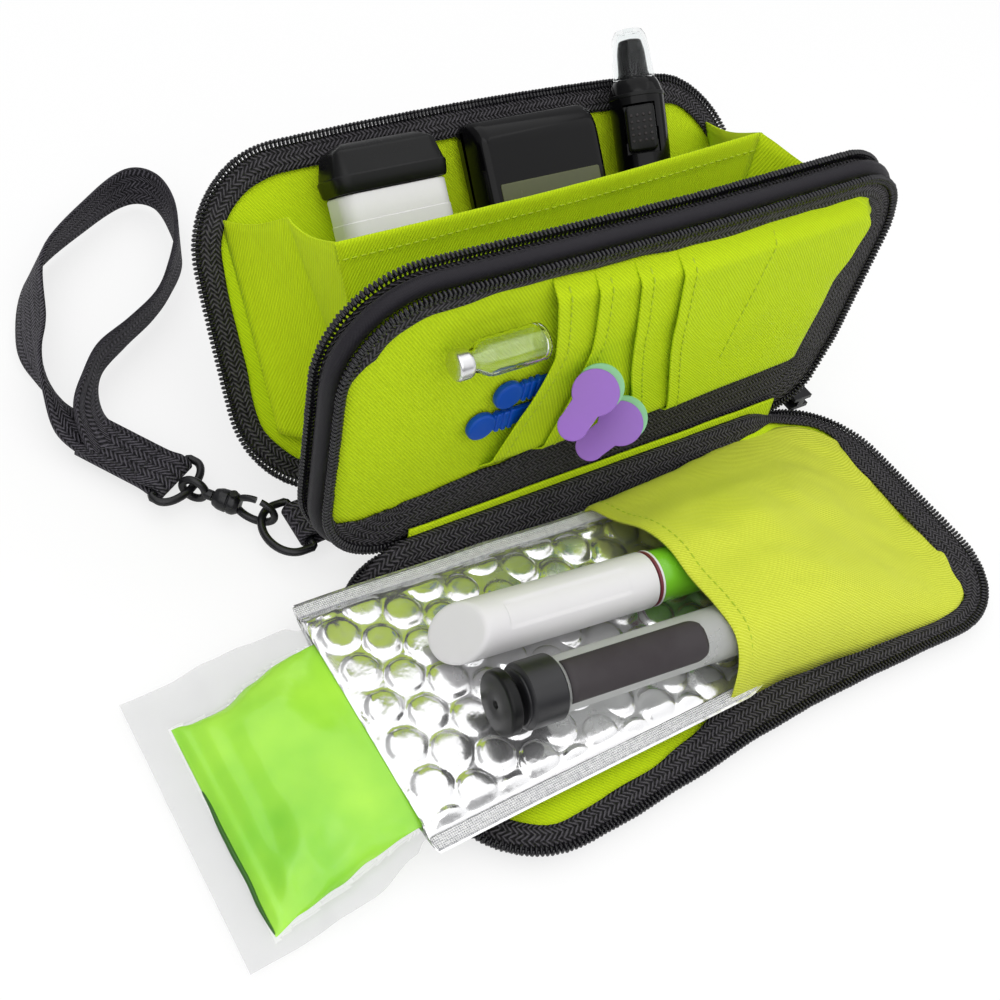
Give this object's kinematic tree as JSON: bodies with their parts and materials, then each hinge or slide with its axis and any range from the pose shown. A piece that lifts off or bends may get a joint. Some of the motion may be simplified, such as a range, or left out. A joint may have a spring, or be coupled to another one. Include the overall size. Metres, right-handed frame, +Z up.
{
  "type": "insulin cooling case",
  "caption": "Zip travel case opened flat: hinged covers with pockets, standing divider, foil pouch with a cold gel pack, pens, meter and supplies, and a clip-on wrist strap.",
  "frame": {"origin": "on the surface the case rests on, under the middle of the divider", "axes": "+X along the case toward the right of the picture, +Y toward the back cover, +Z up"},
  "size_m": [0.2647, 0.2755, 0.1046],
  "materials": {
    "shell_cloth": "black woven polyester over foam",
    "lime_lining": "lime twill",
    "zip_tape": "black herringbone",
    "zip_chain": "black nylon coil",
    "webbing": "black twill webbing",
    "black_metal": "black lacquered",
    "silver_cap": "crimped",
    "foil_film": "metallised bubble film",
    "cold_gel": "clear film round green gel",
    "white_plastic": "satin white",
    "green_plastic": "gloss green",
    "mint_plastic": "mint",
    "black_plastic": "gloss black",
    "dark_plastic": "matt dark grey",
    "grey_plastic": "light grey, slightly clear",
    "display": "olive display under clear cover",
    "clear_plastic": "clear",
    "vial_glass": "clear",
    "blue_plastic": "gloss blue",
    "purple_paper": "printed peel foil"
  },
  "bodies": {
    "case": {"divider_board": "shell_cloth", "divider_piping": "shell_cloth", "divider_front_lining": "lime_lining", "divider_rear_lining": "lime_lining", "divider_front_tape": "zip_tape", "divider_rear_tape": "zip_tape", "divider_front_chain": "zip_chain", "divider_rear_chain": "zip_chain", "card_slot_1": "lime_lining", "card_slot_2": "lime_lining", "card_slot_3": "lime_lining", "card_slot_4": "lime_lining", "spine_base": "shell_cloth", "spine_front_lining": "lime_lining", "gusset_pocket_front": "lime_lining", "front_zip_slider": "black_metal", "rear_zip_slider": "black_metal", "strap_tab": "webbing"},
    "front_cover": {"front_shell": "shell_cloth", "front_lining": "lime_lining", "front_zip_tape": "zip_tape", "front_zip_chain": "zip_chain", "slip_pocket": "lime_lining"},
    "back_cover": {"back_shell": "shell_cloth", "back_lining": "lime_lining", "back_zip_tape": "zip_tape", "back_zip_chain": "zip_chain", "gusset_left": "lime_lining", "gusset_right": "lime_lining"},
    "foil_pouch": {"foil_pouch": "foil_film"},
    "gel_pack": {"gel_pack": "cold_gel"},
    "capped_pen": {"pen_barrel": "green_plastic"},
    "pen_cap": {"pen_cap": "white_plastic"},
    "dial_pen": {"pen_body": "grey_plastic"},
    "pen_dial": {"pen_dial": "black_plastic"},
    "pen_button": {"pen_button": "black_plastic"},
    "insulin_vial": {"insulin_vial": "vial_glass", "insulin_vial_cap": "silver_cap"},
    "lancet_1": {"lancet_1": "blue_plastic"},
    "lancet_2": {"lancet_2": "blue_plastic"},
    "needle_1": {"needle_cap_1": "mint_plastic"},
    "needle_tab_1": {"needle_tab_1": "purple_paper"},
    "needle_2": {"needle_cap_2": "mint_plastic"},
    "needle_tab_2": {"needle_tab_2": "purple_paper"},
    "meter": {"meter_case": "black_plastic", "meter_display": "display"},
    "meter_key": {"meter_key": "grey_plastic"},
    "strip_vial": {"strip_vial": "white_plastic"},
    "strip_vial_cap": {"strip_vial_cap": "black_plastic"},
    "lancer": {"lancer_body": "black_plastic"},
    "lancer_button": {"lancer_button": "dark_plastic"},
    "lancer_cap": {"lancer_cap": "clear_plastic"},
    "front_zip_pull": {"front_zip_pull": "black_metal"},
    "rear_zip_pull": {"rear_zip_pull": "black_metal"},
    "case_ring": {"case_ring": "black_metal"},
    "clasp": {"clasp_hook": "black_metal"},
    "clasp_gate": {"clasp_gate": "black_metal"},
    "clasp_eye": {"clasp_eye": "black_metal"},
    "strap": {"strap_ring": "black_metal", "wrist_strap": "webbing"}
  },
  "joints": [
    {"name": "front_cover_fold", "type": "hinge", "parent": "case", "child": "front_cover", "pos_m": [0, -0.005, 0.006], "axis": [-1, 0, 0], "range_deg": [0, 18]},
    {"name": "back_cover_fold", "type": "hinge", "parent": "case", "child": "back_cover", "pos_m": [0, 0.027, 0.006], "axis": [1, 0, 0], "range_deg": [0, 12], "deforming": ["gusset_left", "gusset_right"]},
    {"name": "pouch_slide", "type": "slide", "parent": "front_cover", "child": "foil_pouch", "axis": [-1, 0, 0], "range_m": [0, 0.11]},
    {"name": "gel_slide", "type": "slide", "parent": "foil_pouch", "child": "gel_pack", "axis": [-1, 0, 0], "range_m": [0, 0.05]},
    {"name": "capped_pen_slide", "type": "slide", "parent": "front_cover", "child": "capped_pen", "axis": [-0.9947, 0.0958, 0.0384], "range_m": [0, 0.08]},
    {"name": "pen_cap_pull", "type": "slide", "parent": "capped_pen", "child": "pen_cap", "axis": [-0.9947, 0.0958, 0.0384], "range_m": [0, 0.03]},
    {"name": "dial_pen_slide", "type": "slide", "parent": "front_cover", "child": "dial_pen", "axis": [-0.9947, 0.0958, 0.0384], "range_m": [0, 0.08]},
    {"name": "pen_dial_turn", "type": "hinge", "parent": "dial_pen", "child": "pen_dial", "pos_m": [-0.07405, -0.06916, 0.02392], "axis": [-0.9947, 0.0958, 0.0384], "range_deg": [0, 330]},
    {"name": "pen_button_press", "type": "slide", "parent": "pen_dial", "child": "pen_button", "axis": [0.9947, -0.0958, -0.0384], "range_m": [0, 0.002], "stiffness_N_per_m": 400},
    {"name": "insulin_vial_slide", "type": "slide", "parent": "case", "child": "insulin_vial", "axis": [-1, 0, 0], "range_m": [0, 0.02]},
    {"name": "lancet_1_slide", "type": "slide", "parent": "case", "child": "lancet_1", "axis": [-1, 0, 0], "range_m": [0, 0.02]},
    {"name": "lancet_2_slide", "type": "slide", "parent": "case", "child": "lancet_2", "axis": [-1, 0, 0], "range_m": [0, 0.02]},
    {"name": "needle_1_slide", "type": "slide", "parent": "case", "child": "needle_1", "axis": [-0.5309, -0.4407, 0.7238], "range_m": [0, 0.02]},
    {"name": "needle_1_peel", "type": "slide", "parent": "needle_1", "child": "needle_tab_1", "axis": [-0.5309, -0.4407, 0.7238], "range_m": [0, 0.01]},
    {"name": "needle_2_slide", "type": "slide", "parent": "case", "child": "needle_2", "axis": [0, -0.9996, 0.0279], "range_m": [0, 0.008]},
    {"name": "needle_2_peel", "type": "slide", "parent": "needle_2", "child": "needle_tab_2", "axis": [-0.5309, -0.4407, 0.7238], "range_m": [0, 0.005]},
    {"name": "meter_slide", "type": "slide", "parent": "back_cover", "child": "meter", "axis": [0, 0.5299, 0.848], "range_m": [0, 0.07]},
    {"name": "meter_key_press", "type": "slide", "parent": "meter", "child": "meter_key", "axis": [0, 0.7314, -0.682], "range_m": [0, 0.0008], "stiffness_N_per_m": 400},
    {"name": "strip_vial_slide", "type": "slide", "parent": "back_cover", "child": "strip_vial", "axis": [0, 0.4226, 0.9063], "range_m": [0, 0.05]},
    {"name": "strip_cap_flip", "type": "hinge", "parent": "strip_vial", "child": "strip_vial_cap", "pos_m": [-0.0465, 0.06451, 0.07672], "axis": [1, 0, 0], "range_deg": [0, 90]},
    {"name": "lancer_slide", "type": "slide", "parent": "back_cover", "child": "lancer", "axis": [0.0856, 0.5274, 0.8453], "range_m": [0, 0.06]},
    {"name": "lancer_button_press", "type": "slide", "parent": "lancer", "child": "lancer_button", "axis": [0.5714, 0.565, -0.5952], "range_m": [0, 0.0012], "stiffness_N_per_m": 400},
    {"name": "lancer_cap_pull", "type": "slide", "parent": "lancer", "child": "lancer_cap", "axis": [0.0872, 0.6794, 0.7286], "range_m": [0, 0.02]},
    {"name": "front_pull_swing", "type": "hinge", "parent": "case", "child": "front_zip_pull", "pos_m": [0.0905, 0.0009, 0.008], "axis": [1, 0, 0], "range_deg": [-35, 10]},
    {"name": "rear_pull_swing", "type": "hinge", "parent": "case", "child": "rear_zip_pull", "pos_m": [0.078, 0.0129, 0.008], "axis": [1, 0, 0], "range_deg": [-35, 35]},
    {"name": "case_ring_swing", "type": "hinge", "parent": "case", "child": "case_ring", "pos_m": [-0.09468, 0.0155, 0.007], "axis": [0, 1, 0], "range_deg": [-8, 8]},
    {"name": "clasp_swing", "type": "hinge", "parent": "case", "child": "clasp", "pos_m": [-0.10273, 0.02314, 0.007], "axis": [0, 0, 1], "range_deg": [-12, 12]},
    {"name": "clasp_gate_press", "type": "hinge", "parent": "clasp", "child": "clasp_gate", "pos_m": [-0.10727, 0.0284, 0.01011], "axis": [0.757, 0.6534, 0], "range_deg": [0, 20], "stiffness_Nm_per_rad": 0.01},
    {"name": "clasp_swivel", "type": "hinge", "parent": "clasp", "child": "clasp_eye", "pos_m": [-0.11253, 0.03449, 0.0064], "axis": [-0.6534, 0.757, 0], "range_deg": [-20, 20]},
    {"name": "strap_swing", "type": "hinge", "parent": "clasp", "child": "strap", "pos_m": [-0.11745, 0.04019, 0.0064], "axis": [0, 0, 1], "range_deg": [-15, 15]}
  ]
}
